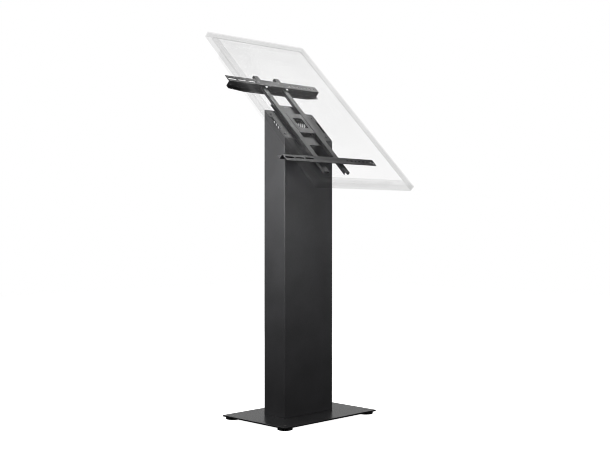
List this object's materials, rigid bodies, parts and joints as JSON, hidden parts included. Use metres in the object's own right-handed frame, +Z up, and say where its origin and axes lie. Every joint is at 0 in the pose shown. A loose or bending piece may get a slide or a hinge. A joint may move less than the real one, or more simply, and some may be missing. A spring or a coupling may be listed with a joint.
{
  "type": "touchscreen kiosk",
  "caption": "Floor-standing touchscreen kiosk: a steel column on a flat base plate, a sloping display bracket and a large portrait touch display tilted at 45 degrees.",
  "frame": {"origin": "on the floor, at the middle of the whole kiosk's box", "axes": "+Z up, -Y towards the user, the service door faces +Y, +X to the user's right"},
  "size_m": [0.47, 0.5567, 1.3389],
  "materials": {
    "powder_coat": "matt black powder coat with a very fine texture",
    "bracket_coat": "matt black powder coat on bent sheet",
    "zinc_steel": "zinc plated",
    "black_screw": "black oxide",
    "foot_plastic": "moulded, slightly glossy",
    "grommet_rubber": "soft moulded rubber",
    "lock_chrome": "polished",
    "player_case": "fine moulded grain",
    "strip_plastic": "moulded plastic",
    "display_bezel": "see-through satin plastic",
    "display_housing": "see-through satin plastic",
    "display_glass": "clear, polished",
    "display_panel": "see-through",
    "display_metal": "see-through",
    "display_board": "see-through"
  },
  "bodies": {
    "kiosk": {"bar_bolts": "black_screw", "bar_nuts": "zinc_steel", "base_bolt_nuts": "zinc_steel", "base_bolts": "zinc_steel", "base_plate": "powder_coat", "board_standoffs": "display_metal", "bottom_bar": "bracket_coat", "bridge_plate": "bracket_coat", "cable_grommet": "grommet_rubber", "column_foot_flange": "powder_coat", "column_rear_cross_strips": "powder_coat", "column_rear_uprights": "powder_coat", "column_shell": "powder_coat", "display_chassis": "display_metal", "display_frame": "display_bezel", "display_posts": "display_metal", "display_rear_cover": "display_housing", "display_screws": "display_metal", "display_washers": "display_metal", "equipment_plate": "powder_coat", "equipment_screws": "zinc_steel", "equipment_standoffs": "zinc_steel", "foot_bosses": "zinc_steel", "hinge_column_leaves": "powder_coat", "hinge_pins": "zinc_steel", "lcd_panel": "display_panel", "lock_keeper": "powder_coat", "main_board": "display_board", "media_player": "player_case", "mounting_bolts": "black_screw", "mounting_nuts": "zinc_steel", "mounting_plate": "bracket_coat", "power_board": "display_board", "power_strip": "strip_plastic", "rail_bolts": "black_screw", "rail_left": "bracket_coat", "rail_nuts": "zinc_steel", "rail_right": "bracket_coat", "slope_plate": "powder_coat", "slope_plate_screws": "black_screw", "slope_plate_tabs": "powder_coat", "top_bar": "bracket_coat", "touch_glass": "display_glass"},
    "foot_front_left": {"foot_pad_front_left": "foot_plastic", "foot_stud_front_left": "zinc_steel"},
    "foot_rear_left": {"foot_pad_rear_left": "foot_plastic", "foot_stud_rear_left": "zinc_steel"},
    "foot_front_right": {"foot_pad_front_right": "foot_plastic", "foot_stud_front_right": "zinc_steel"},
    "foot_rear_right": {"foot_pad_rear_right": "foot_plastic", "foot_stud_rear_right": "zinc_steel"},
    "door": {"service_door": "powder_coat", "hinge_door_leaves": "powder_coat", "lock_body": "lock_chrome", "lock_nut": "zinc_steel"},
    "lock": {"lock_plug": "lock_chrome", "lock_cam": "zinc_steel"},
    "display_button": {"display_power_button": "display_bezel"},
    "player_button": {"player_power_button": "player_case"}
  },
  "joints": [
    {"name": "foot_front_left_screw", "type": "slide", "parent": "kiosk", "child": "foot_front_left", "axis": [0, 0, -1], "range_m": [0, 0.006]},
    {"name": "foot_rear_left_screw", "type": "slide", "parent": "kiosk", "child": "foot_rear_left", "axis": [0, 0, -1], "range_m": [0, 0.006]},
    {"name": "foot_front_right_screw", "type": "slide", "parent": "kiosk", "child": "foot_front_right", "axis": [0, 0, -1], "range_m": [0, 0.006]},
    {"name": "foot_rear_right_screw", "type": "slide", "parent": "kiosk", "child": "foot_rear_right", "axis": [0, 0, -1], "range_m": [0, 0.006]},
    {"name": "door_hinge", "type": "hinge", "parent": "kiosk", "child": "door", "pos_m": [0.0935, 0.10509, 0.553], "axis": [0, 0, -1], "range_deg": [0, 110]},
    {"name": "lock_turn", "type": "hinge", "parent": "door", "child": "lock", "pos_m": [-0.078, 0.09979, 0.533], "axis": [0, 1, 0], "range_deg": [0, 90]},
    {"name": "display_button_press", "type": "slide", "parent": "kiosk", "child": "display_button", "axis": [0, 0.7071, 0.7071], "range_m": [0, 0.001], "stiffness_N_per_m": 500},
    {"name": "player_button_press", "type": "slide", "parent": "kiosk", "child": "player_button", "axis": [0, -1, 0], "range_m": [0, 0.001], "stiffness_N_per_m": 500}
  ]
}
